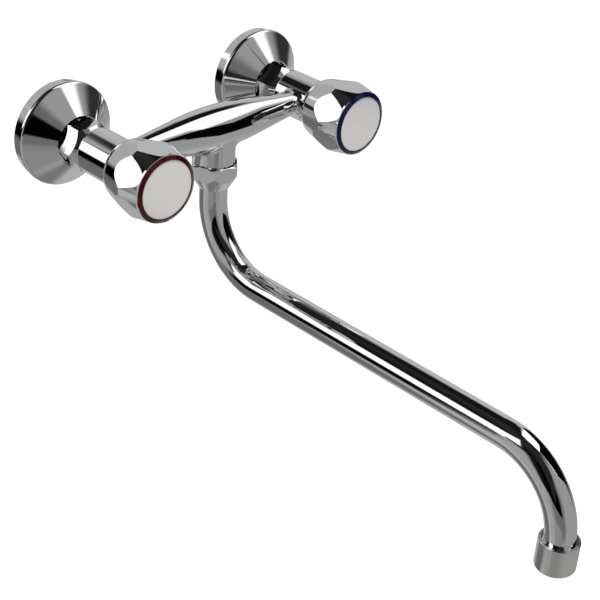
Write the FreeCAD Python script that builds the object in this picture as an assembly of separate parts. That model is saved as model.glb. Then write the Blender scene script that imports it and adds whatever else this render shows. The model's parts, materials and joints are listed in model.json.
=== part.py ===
"""Wall-mounted two handle kitchen faucet, built as its separate pieces.

Frame: the wall is the plane y = 0 and the faucet stands out towards -Y. +X runs from the hot
side to the cold side, +Z is up. The origin lies on the wall, midway between the two inlets.
Millimetres. "reach" below means the distance out from the wall, so y = -reach.
"""
import FreeCAD, Part
import math
import os
from collections import namedtuple

Vector = FreeCAD.Vector
Arc = namedtuple("Arc", "middle end")

# Driving dimensions
INLET_SPACING = 150.0
CROSS_REACH = 52.7
SPOUT_END_REACH = 330.8
SPOUT_DROP = 88.7
SPOUT_BEND_R = 44.0
TUBE_R = 8.65
TUBE_WALL = 1.2
TURN_GAP = 0.05
CHAMFER_MARGIN = 0.1
CUT_MARGIN = 1.0
TOUCH = 0.01
PISTON_TRAVEL = 4.0

SIDES = {"hot": -INLET_SPACING / 2, "cold": INLET_SPACING / 2}

# Wall flange: a pressed cone with a rounded rim
FLANGE_BACK_R = 30.0
FLANGE_RIM_R = 31.3
FLANGE_RIM_REACH = 7.2
FLANGE_ROUND_MID = (8.7, 31.02)
FLANGE_CONE_START = (9.6, 30.2)
FLANGE_FRONT_R = 15.2
FLANGE_FRONT = 21.2
FLANGE_LIP_R = 14.7
FLANGE_PLATE = 18.8
SHEET = 1.2
FLANGE_THREAD_R = 10.55
FLANGE_COLLAR_R = 12.6
FLANGE_COLLAR_LENGTH = 5.0

# Half inch pipe thread, and the inlet fittings behind the body
THREAD_R = 10.48
THREAD_PLAY = 0.08
WALL_STUB_DEPTH = 15.0
UNION_OFFSET = 6.0
UNION_DISC_R = 16.0
UNION_DISC = (3.0, 8.0)
UNION_FRONT = 26.2
UNION_BORE_R = 6.5
WASHER_FRONT = 28.2
INLET_WASHER_R = 9.7
BUSHING_FLANGE_R = 10.2
BUSHING_SLEEVE_R = 7.6
BUSHING_FRONT = 30.6
BUSHING_SLEEVE_END = 36.6
SLEEVE_BORE_END = 36.8
INLET_BORE_R = 5.5

# Union nut
NUT_FLATS = 26.0
NUT_BACK = 19.9
NUT_BACK_R = 12.9
NUT_BACK_CHAMFER = 1.9
NUT_FRONT = 35.6
NUT_FRONT_R = 10.6
NUT_FRONT_CHAMFER = 4.6
NUT_TURN = {"hot": 4.5, "cold": 38.0}
NECK_R = 9.0

# Body legs, seats and crosspiece
LEG_R = 13.9
LEG_BACK = 35.8
LEG_SHOULDER = 2.3
LEG_FRONT = 61.7
LEG_NECK_R = 12.4
LEG_NECK_FRONT = 67.0
SEAT_HOLE_R = 4.5
SEAT_LIP_R = 6.2
SEAT_FACE = 40.2
SEAT_FLOOR = 39.0
SEAT_THROAT = 37.6
CHAMBER_R = 9.6
CHAMBER_FRONT = 57.4
CROSS_RISE = 0.9
CROSS_MID_R = 13.3
CROSS_BOW_R = 205.0
CROSS_BOW_HALF = 28.0
CROSS_HALF = INLET_SPACING / 2 - 4.0
CROSS_BORE_R = 4.5
CROSS_ROOT_FILLET = 4.5
SHORTEST_SEAM = 5.0

# Outlet boss under the crosspiece, and the swivel in it
BOSS_R = 12.3
BOSS_TOP = -2.0
BOSS_LOW = -20.2
BOSS_THREAD_R = 10.9
BOSS_END = -27.7
BOSS_ROOT_FILLET = 5.0
BOSS_BORE_R = 8.25
BOSS_PASSAGE_R = 6.5
BOSS_BORE_TOP = -12.0
SPIGOT_R = BOSS_BORE_R - TURN_GAP
SPIGOT_TOP = -13.0
COLLAR_R = 10.0
COLLAR_TOP = -28.0
COLLAR_LOW = -32.5
COLLAR_PASSAGE_R = 5.95
SOCKET_TOP = -28.6
SPOUT_RING_LEVELS = (-17.0, -22.5)
SPOUT_RING_CORD_R = 0.66
SLIP_RING_LOW = -33.5
SLIP_RING_R = 10.4
RING_SQUEEZE = 0.02
GROOVE_PLAY = 0.1
EDGE_BREAK = 0.5

# Spout nut: six flats over a rounded foot
SPOUT_NUT_FLATS = 27.0
SPOUT_NUT_TOP = -20.8
SPOUT_NUT_TOP_R = 13.3
SPOUT_NUT_CHAMFER = 1.3
SPOUT_NUT_TURN = 50.0
SPOUT_NUT_FOOT_TOP = -26.5
SPOUT_NUT_FOOT_MID = (-31.9, 12.6)
SPOUT_NUT_LOW = -37.2
SPOUT_NUT_LOW_R = 9.4
SPOUT_NUT_BORE_R = TUBE_R + 0.1

# Spout end and aerator
AERATOR_R = 11.3
AERATOR_TOP = -131.6
AERATOR_LOW = -149.9
AERATOR_FOOT = 1.8
AERATOR_THREAD_R = 9.95
AERATOR_MOUTH_R = 9.0
BUSH_LIP_R = 10.3
BUSH_LIP_BREAK = 0.3
BUSH_THREAD_R = 9.87
BUSH_TOP = -131.2
BUSH_LOW = -139.2
BUSH_FLOOR = -138.0
SEAL_LOW = -140.8
INSERT_LOW = -145.6
SCREEN_LOW = -148.4
INSERT_R = 9.85
INSERT_HOLES = (0.7, 2.6, 2)
SCREEN_HOLES = (0.75, 2.0, 4)

# Headwork: housing, travelling piston and spindle
NOSE_R = 8.0
GUIDE_FLATS = 11.1
GUIDE_FRONT = 63.6
PISTON_FLATS = GUIDE_FLATS - 2 * TURN_GAP
PISTON_BACK = 43.75
PISTON_CUP_R = 7.2
PISTON_CUP_RIM = 41.8
PISTON_CUP_FRONT = 46.2
PISTON_FRONT = 58.0
PISTON_BORE_END = 48.0
END_PLAY = 0.2
HOUSING_BACK = PISTON_CUP_FRONT + PISTON_TRAVEL + END_PLAY
WASHER_R = 6.4
WASHER_BACK = 40.25
WASHER_SCREW_R = 1.5
WASHER_SCREW_HEAD_R = 2.9
WASHER_SCREW_HEAD_BACK = 38.4
WASHER_SCREW_END = 46.9
WASHER_SCREW_SLOT = 0.8
GASKET_FRONT = 67.8
HOUSING_FLATS = 21.0
HOUSING_SHOULDER = 57.6
HOUSING_HEX_FRONT = 72.8
HOUSING_NECK_R = 7.5
HOUSING_FRONT = 80.0
SPINDLE_THREAD_R = 3.5
SPINDLE_BACK = PISTON_BORE_END + PISTON_TRAVEL + END_PLAY
SPINDLE_R = 4.0
SPINDLE_COLLAR_R = 5.0
SPINDLE_COLLAR = (63.7, 65.7)
COLLAR_PLAY = 0.1
SPINDLE_RINGS = (69.8, 75.2)
SPINDLE_RING_CORD_R = 0.56
CLIP = (80.1, 80.9)
CLIP_GROOVE_R = 3.2
CLIP_R = 6.2
CLIP_MOUTH = 5.6
DRIVE_BACK = 81.0
DRIVE_FRONT = 90.4
DRIVE_FLATS = 5.6
DRIVE_PLAY = 0.04

# Knob: a bell turned in one piece with six long flats cut on it
KNOB_BACK = 62.05
KNOB_BELL_MID = (64.15, 16.27)
KNOB_BELL_END = (68.5, 18.4)
KNOB_RIDGE = (85.0, 22.4)
KNOB_RIM = (97.3, 20.2)
KNOB_LIP = (98.2, 19.9)
KNOB_FLATS_BACK = (60.0, 42.06)
KNOB_FLATS_FRONT = (100.0, 39.76)
KNOB_EDGE_FILLET = 0.5
KNOB_FACETS = (70.5, 96.8)
KNOB_MOUTH_R = 12.9
KNOB_CAVITY = ((64.5, 12.9), (70.0, 16.3), (90.0, 16.3))
HUB_R = 7.5
HUB_BACK = 81.3
HUB_FLOOR = 90.5
HUB_FRONT = 93.0
RING_SEAT = 96.0
RING_SEAT_R = 19.42
SCREW_WELL_R = 14.5
RING_R = 19.4
RING_EDGE = 98.3
RING_FACE = (99.8, 17.25)
CAP_SEAT = 98.0
RING_HOLE_R = 14.0
CAP_FRONT = 99.1
CAP_R = 17.2
CAP_EDGE = 0.3
CAP_SPIGOT_BACK = 95.6
CAP_SPIGOT_R = 13.9
CAP_SPIGOT_WALL = 1.6
KNOB_SCREW_R = 1.95
KNOB_SCREW_PLAY = 0.02
KNOB_SCREW_HOLE_R = 2.1
KNOB_SCREW_HEAD_R = 3.7
KNOB_SCREW_TOP = (94.4, (94.95, 2.95), (95.2, 1.9))
KNOB_SCREW_SLOT = (4.0, 1.4, 0.9)
KNOB_SCREW_BACK = 83.0
TAPPING_END = 82.5


def face_through(points, place):
    """Face inside a closed outline whose items are corners, or arcs that end at one."""
    edges = []
    here = place(points[0])
    for item in points[1:] + points[:1]:
        if isinstance(item, Arc):
            there = place(item.end)
            edges.append(Part.Arc(here, place(item.middle), there).toShape())
        else:
            there = place(item)
            edges.append(Part.makeLine(here, there))
        here = there
    return Part.Face(Part.Wire(edges))


def turned(x, points):
    """Solid of revolution about a leg's axis, from (reach, radius) points."""
    face = face_through(points, lambda p: Vector(x + p[1], -p[0], 0))
    return face.revolve(Vector(x, 0, 0), Vector(0, 1, 0), 360)


def turned_upright(points, reach=CROSS_REACH):
    """Solid of revolution about an upright axis at x = 0, from (height, radius) points."""
    face = face_through(points, lambda p: Vector(p[1], -reach, p[0]))
    return face.revolve(Vector(0, -reach, 0), Vector(0, 0, 1), 360)


def turned_across(points):
    """Solid of revolution about the crosspiece's axis, from (x, radius) points."""
    face = face_through(points, lambda p: Vector(p[0], -CROSS_REACH, CROSS_RISE + p[1]))
    return face.revolve(Vector(0, -CROSS_REACH, CROSS_RISE), Vector(1, 0, 0), 360)


def rod(x, radius, back, front, z=0.0):
    """Cylinder along the reach direction."""
    return Part.makeCylinder(radius, front - back, Vector(x, -back, z), Vector(0, -1, 0))


def upright_rod(radius, low, high, reach=CROSS_REACH):
    """Upright cylinder at x = 0."""
    return Part.makeCylinder(radius, high - low, Vector(0, -reach, low), Vector(0, 0, 1))


def polygon_wire(sides, across_flats, turn, place):
    """Regular polygon with its first corner at the turn angle, in degrees."""
    corner_r = across_flats / 2 / math.cos(math.pi / sides)
    angles = [math.radians(turn + 360.0 * k / sides) for k in range(sides + 1)]
    corners = [place(corner_r * math.cos(a), corner_r * math.sin(a)) for a in angles[:-1]]
    return Part.makePolygon(corners + corners[:1])


def bar(x, sides, across_flats, back, front, turn=0.0):
    """Straight bar of regular polygon section along the reach direction."""
    wire = polygon_wire(sides, across_flats, turn, lambda u, v: Vector(x + u, -back, v))
    return Part.Face(wire).extrude(Vector(0, back - front, 0))


def tapered_bar(x, back, front):
    """Six-sided bar between two (reach, across flats) ends, with corners left and right."""
    wires = []
    for reach, flats in (back, front):
        wires.append(polygon_wire(6, flats, 0.0, lambda u, v: Vector(x + u, -reach, v)))
    return Part.makeLoft(wires, True, True)


def ring_cord(x, reach, middle_r, cord_r):
    """Round rubber ring about a leg's axis."""
    return Part.makeTorus(middle_r, cord_r, Vector(x, -reach, 0), Vector(0, -1, 0))


def wall_flange(x):
    """Cone-shaped cover that hides the union at the wall, threaded on it by a short collar."""
    start_reach, start_r = FLANGE_CONE_START
    run = FLANGE_FRONT - start_reach
    fall = start_r - FLANGE_FRONT_R
    length = math.hypot(run, fall)
    inner_start = (start_reach - SHEET * fall / length, start_r - SHEET * run / length)
    plate_back = FLANGE_PLATE - SHEET
    inner_end_r = inner_start[1] - (plate_back - inner_start[0]) * fall / run
    collar_back = FLANGE_PLATE - FLANGE_COLLAR_LENGTH
    return turned(x, [
        (0.0, FLANGE_BACK_R - SHEET), (0.0, FLANGE_BACK_R), (FLANGE_RIM_REACH, FLANGE_RIM_R),
        Arc(FLANGE_ROUND_MID, FLANGE_CONE_START),
        (FLANGE_FRONT, FLANGE_FRONT_R), (FLANGE_FRONT, FLANGE_LIP_R), (FLANGE_PLATE, FLANGE_LIP_R),
        (FLANGE_PLATE, FLANGE_THREAD_R), (collar_back, FLANGE_THREAD_R),
        (collar_back, FLANGE_COLLAR_R), (plate_back, FLANGE_COLLAR_R),
        (plate_back, inner_end_r), inner_start, (FLANGE_RIM_REACH, FLANGE_RIM_R - SHEET)])


def eccentric_union(x):
    """Offset fitting: half inch thread in the wall, disc, and the thread that takes the nut."""
    disc_back, disc_front = UNION_DISC
    middle = (disc_back + disc_front) / 2
    wall_stub = rod(x, THREAD_R, -WALL_STUB_DEPTH, middle, UNION_OFFSET)
    disc = rod(x, UNION_DISC_R, disc_back, disc_front, UNION_OFFSET / 2)
    front_stub = rod(x, THREAD_R - THREAD_PLAY, middle, UNION_FRONT)
    solid = wall_stub.fuse(disc).fuse(front_stub)
    solid = solid.cut(rod(x, UNION_BORE_R, -WALL_STUB_DEPTH, middle, UNION_OFFSET))
    return solid.cut(rod(x, UNION_BORE_R, middle, UNION_FRONT)).removeSplitter()


def union_nut(x, turn):
    """Hexagon nut, chamfered at both ends, with a lip that holds the bushing's flange."""
    corner_r = NUT_FLATS / math.sqrt(3) + CHAMFER_MARGIN
    envelope = turned(x, [
        (NUT_BACK, 0.0), (NUT_BACK, NUT_BACK_R), (NUT_BACK + NUT_BACK_CHAMFER, corner_r),
        (NUT_FRONT - NUT_FRONT_CHAMFER, corner_r), (NUT_FRONT, NUT_FRONT_R), (NUT_FRONT, 0.0)])
    body = bar(x, 6, NUT_FLATS, NUT_BACK, NUT_FRONT, turn).common(envelope)
    body = body.cut(rod(x, THREAD_R, NUT_BACK, BUSHING_FRONT))
    return body.cut(rod(x, NECK_R + THREAD_PLAY, BUSHING_FRONT, NUT_FRONT))


def inlet_washer(x):
    """Flat rubber washer between the union and the bushing."""
    return rod(x, INLET_WASHER_R, UNION_FRONT, WASHER_FRONT).cut(
        rod(x, UNION_BORE_R, UNION_FRONT, WASHER_FRONT))


def union_bushing(x):
    """Flanged sleeve screwed into the body's back, which keeps the nut captive."""
    return turned(x, [
        (WASHER_FRONT, INLET_BORE_R), (WASHER_FRONT, BUSHING_FLANGE_R),
        (BUSHING_FRONT, BUSHING_FLANGE_R), (BUSHING_FRONT, BUSHING_SLEEVE_R),
        (BUSHING_SLEEVE_END, BUSHING_SLEEVE_R), (BUSHING_SLEEVE_END, INLET_BORE_R)])


def leg(x):
    """Outside of one valve leg, from the captive nut's neck to the neck under the knob."""
    soft = LEG_SHOULDER * (1 - math.sqrt(0.5))
    return turned(x, [
        (BUSHING_FRONT, 0.0), (BUSHING_FRONT, NECK_R), (LEG_BACK, NECK_R),
        (LEG_BACK, LEG_R - LEG_SHOULDER),
        Arc((LEG_BACK + soft, LEG_R - soft), (LEG_BACK + LEG_SHOULDER, LEG_R)), (LEG_FRONT, LEG_R),
        (LEG_FRONT, LEG_NECK_R), (LEG_NECK_FRONT, LEG_NECK_R), (LEG_NECK_FRONT, 0.0)])


def leg_passage(x):
    """Water space of one leg: inlet, seat hole, chamber round the lip, and headwork thread."""
    passage = turned(x, [
        (BUSHING_FRONT, 0.0), (BUSHING_FRONT, BUSHING_SLEEVE_R),
        (SLEEVE_BORE_END, BUSHING_SLEEVE_R), (SLEEVE_BORE_END, INLET_BORE_R),
        (SEAT_THROAT, INLET_BORE_R), (SEAT_THROAT, SEAT_HOLE_R),
        (SEAT_FLOOR, SEAT_HOLE_R), (SEAT_FLOOR, CHAMBER_R), (CHAMBER_FRONT, CHAMBER_R),
        (CHAMBER_FRONT, THREAD_R), (LEG_NECK_FRONT, THREAD_R), (LEG_NECK_FRONT, 0.0)])
    lip = rod(x, SEAT_LIP_R, SEAT_FLOOR, SEAT_FACE).cut(
        rod(x, SEAT_HOLE_R, SEAT_FLOOR, SEAT_FACE))
    return passage.cut(lip)


def crosspiece():
    """Spindle-shaped bridge between the legs: a bowed middle that runs into straight cones."""
    drop = CROSS_BOW_R - math.sqrt(CROSS_BOW_R ** 2 - CROSS_BOW_HALF ** 2)
    bow_r = CROSS_MID_R - drop
    slope = CROSS_BOW_HALF / math.sqrt(CROSS_BOW_R ** 2 - CROSS_BOW_HALF ** 2)
    end_r = bow_r - slope * (CROSS_HALF - CROSS_BOW_HALF)
    return turned_across([
        (-CROSS_HALF, 0.0), (-CROSS_HALF, end_r), (-CROSS_BOW_HALF, bow_r),
        Arc((0.0, CROSS_MID_R), (CROSS_BOW_HALF, bow_r)), (CROSS_HALF, end_r), (CROSS_HALF, 0.0)])


def is_joint_edge(edge, shapes):
    """True when the edge is long and lies on the skins of all the shapes, as their seam does."""
    if edge.Length < SHORTEST_SEAM:
        return False
    middle = edge.valueAt((edge.FirstParameter + edge.LastParameter) / 2)
    point = Part.Vertex(middle)
    return all(shape.Shells[0].distToShape(point)[0] < TOUCH for shape in shapes)


def faucet_body():
    """One casting: two legs, the crosspiece, and the threaded outlet boss, bored for water."""
    bridge = crosspiece()
    boss = upright_rod(BOSS_R, BOSS_LOW, BOSS_TOP)
    casting = bridge.fuse(boss)
    boss_seam = [e for e in casting.Edges if is_joint_edge(e, (bridge, boss))]
    casting = casting.makeFillet(BOSS_ROOT_FILLET, boss_seam)
    for x in SIDES.values():
        cylinder = rod(x, LEG_R, LEG_BACK + LEG_SHOULDER, LEG_FRONT)
        casting = casting.fuse(cylinder)
        seam = [e for e in casting.Edges if is_joint_edge(e, (bridge, cylinder))]
        casting = casting.makeFillet(CROSS_ROOT_FILLET, seam)
    for x in SIDES.values():
        casting = casting.fuse(leg(x))
    casting = casting.fuse(upright_rod(BOSS_THREAD_R, BOSS_END, BOSS_LOW))
    for x in SIDES.values():
        casting = casting.cut(leg_passage(x))
    across = Part.makeCylinder(CROSS_BORE_R, INLET_SPACING, Vector(SIDES["hot"], -CROSS_REACH, 0),
                               Vector(1, 0, 0))
    casting = casting.cut(across)
    casting = casting.cut(upright_rod(BOSS_PASSAGE_R, BOSS_BORE_TOP, 0.0))
    casting = casting.cut(upright_rod(BOSS_BORE_R, BOSS_END, BOSS_BORE_TOP))
    return casting.removeSplitter()


def headwork_gasket(x):
    """Fibre washer between the leg's mouth and the headwork's hexagon."""
    return rod(x, LEG_NECK_R, LEG_NECK_FRONT, GASKET_FRONT).cut(
        rod(x, THREAD_R, LEG_NECK_FRONT, GASKET_FRONT))


def headwork_housing(x):
    """Brass housing: hexagonal guide for the piston, thread, spanner hexagon and spindle neck."""
    outside = turned(x, [
        (HOUSING_BACK, 0.0), (HOUSING_BACK, NOSE_R), (HOUSING_SHOULDER, NOSE_R),
        (HOUSING_SHOULDER, THREAD_R - THREAD_PLAY), (GASKET_FRONT, THREAD_R - THREAD_PLAY),
        (GASKET_FRONT, HOUSING_NECK_R), (HOUSING_FRONT - EDGE_BREAK, HOUSING_NECK_R),
        (HOUSING_FRONT, HOUSING_NECK_R - EDGE_BREAK), (HOUSING_FRONT, 0.0)])
    outside = outside.fuse(bar(x, 6, HOUSING_FLATS, GASKET_FRONT, HOUSING_HEX_FRONT))
    inside = bar(x, 6, GUIDE_FLATS, HOUSING_BACK, GUIDE_FRONT)
    collar_front = SPINDLE_COLLAR[1] + COLLAR_PLAY
    inside = inside.fuse(rod(x, SPINDLE_COLLAR_R + TURN_GAP, GUIDE_FRONT, collar_front))
    inside = inside.fuse(rod(x, SPINDLE_R + TURN_GAP, collar_front, HOUSING_FRONT))
    return outside.cut(inside).removeSplitter()


def piston(x):
    """Travelling piston: a cup for the washer on a hexagonal stem with a threaded bore."""
    cup = rod(x, PISTON_CUP_R, PISTON_CUP_RIM, PISTON_CUP_FRONT).cut(
        rod(x, WASHER_R + TURN_GAP, PISTON_CUP_RIM, PISTON_BACK))
    solid = cup.fuse(bar(x, 6, PISTON_FLATS, PISTON_CUP_FRONT, PISTON_FRONT))
    solid = solid.cut(rod(x, SPINDLE_THREAD_R + TURN_GAP, PISTON_BORE_END, PISTON_FRONT))
    return solid.cut(rod(x, WASHER_SCREW_R, PISTON_BACK, WASHER_SCREW_END)).removeSplitter()


def seat_washer(x):
    """Rubber washer that closes on the seat."""
    return rod(x, WASHER_R, WASHER_BACK, PISTON_BACK).cut(
        rod(x, WASHER_SCREW_R, WASHER_BACK, PISTON_BACK))


def washer_screw(x):
    """Slotted screw that holds the washer in the piston's cup."""
    head = rod(x, WASHER_SCREW_HEAD_R, WASHER_SCREW_HEAD_BACK, WASHER_BACK)
    width = WASHER_SCREW_SLOT
    corner = Vector(x - WASHER_SCREW_HEAD_R, -WASHER_SCREW_HEAD_BACK - width, -width / 2)
    slot = Part.makeBox(2 * WASHER_SCREW_HEAD_R, width, width, corner)
    return head.cut(slot).fuse(rod(x, WASHER_SCREW_R, WASHER_BACK, WASHER_SCREW_END))


def spindle(x):
    """Turned spindle: piston thread, thrust collar, sealed shaft and square drive."""
    groove_r = SPINDLE_R - 2 * SPINDLE_RING_CORD_R + RING_SQUEEZE
    shaft = rod(x, SPINDLE_THREAD_R, SPINDLE_BACK, SPINDLE_COLLAR[0])
    shaft = shaft.fuse(rod(x, SPINDLE_COLLAR_R, *SPINDLE_COLLAR))
    shaft = shaft.fuse(rod(x, SPINDLE_R, SPINDLE_COLLAR[1], DRIVE_BACK))
    shaft = shaft.fuse(bar(x, 4, DRIVE_FLATS, DRIVE_BACK, DRIVE_FRONT, 45.0))
    half = SPINDLE_RING_CORD_R + GROOVE_PLAY
    for reach in SPINDLE_RINGS:
        groove = rod(x, SPINDLE_R + CUT_MARGIN, reach - half, reach + half).cut(
            rod(x, groove_r, reach - half, reach + half))
        shaft = shaft.cut(groove)
    clip_groove = rod(x, SPINDLE_R + CUT_MARGIN, *CLIP).cut(rod(x, CLIP_GROOVE_R, *CLIP))
    tapping = rod(x, KNOB_SCREW_R + KNOB_SCREW_PLAY, TAPPING_END, DRIVE_FRONT)
    return shaft.cut(clip_groove).cut(tapping)


def spindle_o_rings(x):
    """Two rubber rings that seal the spindle in the housing."""
    middle_r = SPINDLE_R + RING_SQUEEZE - SPINDLE_RING_CORD_R
    return Part.makeCompound([ring_cord(x, s, middle_r, SPINDLE_RING_CORD_R) for s in SPINDLE_RINGS])


def spindle_clip(x):
    """Open retaining clip in the spindle's groove, in front of the housing."""
    washer = rod(x, CLIP_R, *CLIP).cut(rod(x, CLIP_GROOVE_R, *CLIP))
    corner = Vector(x - CLIP_MOUTH / 2, -CLIP[1], -CLIP_R)
    return washer.cut(Part.makeBox(CLIP_MOUTH, CLIP[1] - CLIP[0], CLIP_R, corner))


def knob_outside(x):
    """Bell with a ridge near its front, cut by six flats that leave curved facets between."""
    bell = turned(x, [
        (KNOB_BACK, 0.0), (KNOB_BACK, LEG_R), Arc(KNOB_BELL_MID, KNOB_BELL_END),
        KNOB_RIDGE, KNOB_RIM, KNOB_LIP, (KNOB_LIP[0], 0.0)])
    faceted = bell.common(tapered_bar(x, KNOB_FLATS_BACK, KNOB_FLATS_FRONT))
    back, front = KNOB_FACETS
    edges = []
    for edge in faceted.Edges:
        inside = back < -edge.CenterOfMass.y < front and -edge.BoundBox.YMin < KNOB_RIM[0] + TOUCH
        if inside and not is_seam(edge):
            edges.append(edge)
    return faceted.makeFillet(KNOB_EDGE_FILLET, edges)


def is_seam(edge):
    """True for the line where a turned face closes on itself, which is no real edge."""
    return edge.Curve.TypeId == "Part::GeomLine" and abs(edge.CenterOfMass.z) < TOUCH


def knob(x):
    """Die-cast knob: faceted shell, hub with a square socket, and seats for ring and cap."""
    shell = knob_outside(x)
    cavity = turned(x, [
        (KNOB_BACK, 0.0), (KNOB_BACK, KNOB_MOUTH_R), *KNOB_CAVITY, (KNOB_CAVITY[-1][0], 0.0)])
    cavity = cavity.cut(rod(x, HUB_R, HUB_BACK, KNOB_CAVITY[-1][0]))
    well = rod(x, SCREW_WELL_R, HUB_FRONT, KNOB_LIP[0])
    seat = rod(x, RING_SEAT_R, RING_SEAT, KNOB_LIP[0])
    socket = bar(x, 4, DRIVE_FLATS + DRIVE_PLAY, HUB_BACK, HUB_FLOOR, 45.0)
    screw_hole = rod(x, KNOB_SCREW_HOLE_R, HUB_FLOOR, HUB_FRONT)
    for hollow in (cavity, well, seat, socket, screw_hole):
        shell = shell.cut(hollow)
    return shell


def knob_screw(x):
    """Cross-headed screw that draws the knob onto the spindle."""
    round_back, round_middle, round_end = KNOB_SCREW_TOP
    head = turned(x, [
        (HUB_FRONT, 0.0), (HUB_FRONT, KNOB_SCREW_HEAD_R), (round_back, KNOB_SCREW_HEAD_R),
        Arc(round_middle, round_end), (round_end[0], 0.0)])
    length, depth, width = KNOB_SCREW_SLOT
    corner = Vector(x - length / 2, -round_end[0], -width / 2)
    for turn in (0, 90):
        slot = Part.makeBox(length, depth, width, corner)
        slot.rotate(Vector(x, 0, 0), Vector(0, 1, 0), turn)
        head = head.cut(slot)
    return head.fuse(rod(x, KNOB_SCREW_R, KNOB_SCREW_BACK, HUB_FRONT))


def index_ring(x):
    """Coloured plastic ring, sloped in front, that marks hot or cold."""
    return turned(x, [
        (RING_SEAT, RING_HOLE_R), (RING_SEAT, RING_R), (RING_EDGE, RING_R), RING_FACE,
        (CAP_SEAT, RING_FACE[1]), (CAP_SEAT, RING_HOLE_R)])


def knob_cap(x):
    """Satin metal disc with a soft edge, clipped in the ring by its spigot."""
    soft = CAP_EDGE * (1 - math.sqrt(0.5))
    disc = turned(x, [
        (CAP_SEAT, 0.0), (CAP_SEAT, CAP_R), (CAP_FRONT - CAP_EDGE, CAP_R),
        Arc((CAP_FRONT - soft, CAP_R - soft), (CAP_FRONT, CAP_R - CAP_EDGE)), (CAP_FRONT, 0.0)])
    spigot = rod(x, CAP_SPIGOT_R, CAP_SPIGOT_BACK, CAP_SEAT).cut(
        rod(x, CAP_SPIGOT_R - CAP_SPIGOT_WALL, CAP_SPIGOT_BACK, CAP_SEAT))
    return disc.fuse(spigot)


def spout_path():
    """Down from the nut, out along the run, and down again to the aerator."""
    bend = SPOUT_BEND_R
    soft = bend * (1 - math.sqrt(0.5))
    run_z = -SPOUT_DROP
    corner = (-CROSS_REACH, -SPOUT_END_REACH)
    spots = [
        (corner[0], SOCKET_TOP), (corner[0], run_z + bend), (corner[0] - soft, run_z + soft),
        (corner[0] - bend, run_z), (corner[1] + bend, run_z), (corner[1] + soft, run_z - soft),
        (corner[1], run_z - bend), (corner[1], BUSH_FLOOR)]
    p = [Vector(0, y, z) for y, z in spots]
    return Part.Wire([
        Part.makeLine(p[0], p[1]), Part.Arc(p[1], p[2], p[3]).toShape(), Part.makeLine(p[3], p[4]),
        Part.Arc(p[4], p[5], p[6]).toShape(), Part.makeLine(p[6], p[7])])


def spout_tube():
    """Bent brass tube of even wall."""
    solids = []
    start = Vector(0, -CROSS_REACH, SOCKET_TOP)
    for radius in (TUBE_R, TUBE_R - TUBE_WALL):
        ring = Part.Wire([Part.makeCircle(radius, start, Vector(0, 0, -1))])
        solids.append(spout_path().makePipeShell([ring], True, False))
    return solids[0].cut(solids[1])


def spout_collar():
    """Swivel collar brazed on the tube: socket below, ringed spigot above."""
    solid = turned_upright([
        (COLLAR_LOW, TUBE_R), (COLLAR_LOW, COLLAR_R), (COLLAR_TOP, COLLAR_R), (COLLAR_TOP, SPIGOT_R),
        (SPIGOT_TOP - EDGE_BREAK, SPIGOT_R), (SPIGOT_TOP, SPIGOT_R - EDGE_BREAK),
        (SPIGOT_TOP, COLLAR_PASSAGE_R), (SOCKET_TOP, COLLAR_PASSAGE_R), (SOCKET_TOP, TUBE_R)])
    groove_r = SPIGOT_R + RING_SQUEEZE - 2 * SPOUT_RING_CORD_R
    half = SPOUT_RING_CORD_R + GROOVE_PLAY
    for level in SPOUT_RING_LEVELS:
        groove = upright_rod(SPIGOT_R + CUT_MARGIN, level - half, level + half).cut(
            upright_rod(groove_r, level - half, level + half))
        solid = solid.cut(groove)
    return solid


def spout_o_rings():
    """Two rubber rings that seal the swivel."""
    middle_r = SPIGOT_R + RING_SQUEEZE - SPOUT_RING_CORD_R
    rings = []
    for level in SPOUT_RING_LEVELS:
        rings.append(Part.makeTorus(middle_r, SPOUT_RING_CORD_R, Vector(0, -CROSS_REACH, level)))
    return Part.makeCompound(rings)


def spout_slip_ring():
    """Plastic ring on which the collar turns in the nut."""
    high = COLLAR_LOW - TURN_GAP
    return upright_rod(SLIP_RING_R, SLIP_RING_LOW, high).cut(
        upright_rod(SPOUT_NUT_BORE_R, SLIP_RING_LOW, high))


def spout_nut():
    """Hexagon nut with a rounded foot that carries the spout's collar."""
    corner_r = SPOUT_NUT_FLATS / math.sqrt(3)
    envelope = turned_upright([
        (SPOUT_NUT_TOP, 0.0), (SPOUT_NUT_TOP, SPOUT_NUT_TOP_R),
        (SPOUT_NUT_TOP - SPOUT_NUT_CHAMFER, corner_r),
        (SPOUT_NUT_FOOT_TOP, corner_r), Arc(SPOUT_NUT_FOOT_MID, (SPOUT_NUT_LOW, SPOUT_NUT_LOW_R)),
        (SPOUT_NUT_LOW, 0.0)])
    wire = polygon_wire(6, SPOUT_NUT_FLATS, SPOUT_NUT_TURN,
                        lambda u, v: Vector(u, v - CROSS_REACH, SPOUT_NUT_LOW))
    body = Part.Face(wire).extrude(Vector(0, 0, SPOUT_NUT_TOP - SPOUT_NUT_LOW)).common(envelope)
    body = body.cut(upright_rod(BOSS_THREAD_R + TURN_GAP, SLIP_RING_LOW, SPOUT_NUT_TOP))
    return body.cut(upright_rod(SPOUT_NUT_BORE_R, SPOUT_NUT_LOW, SLIP_RING_LOW))


def outlet_bush():
    """Threaded bush brazed on the tube's end, which takes the aerator."""
    bore_r = TUBE_R - TUBE_WALL
    return turned_upright([
        (BUSH_TOP, TUBE_R), (BUSH_TOP, BUSH_LIP_R - BUSH_LIP_BREAK),
        (BUSH_TOP - BUSH_LIP_BREAK, BUSH_LIP_R),
        (AERATOR_TOP, BUSH_LIP_R), (AERATOR_TOP, BUSH_THREAD_R), (BUSH_LOW, BUSH_THREAD_R),
        (BUSH_LOW, bore_r), (BUSH_FLOOR, bore_r), (BUSH_FLOOR, TUBE_R)], SPOUT_END_REACH)


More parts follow.
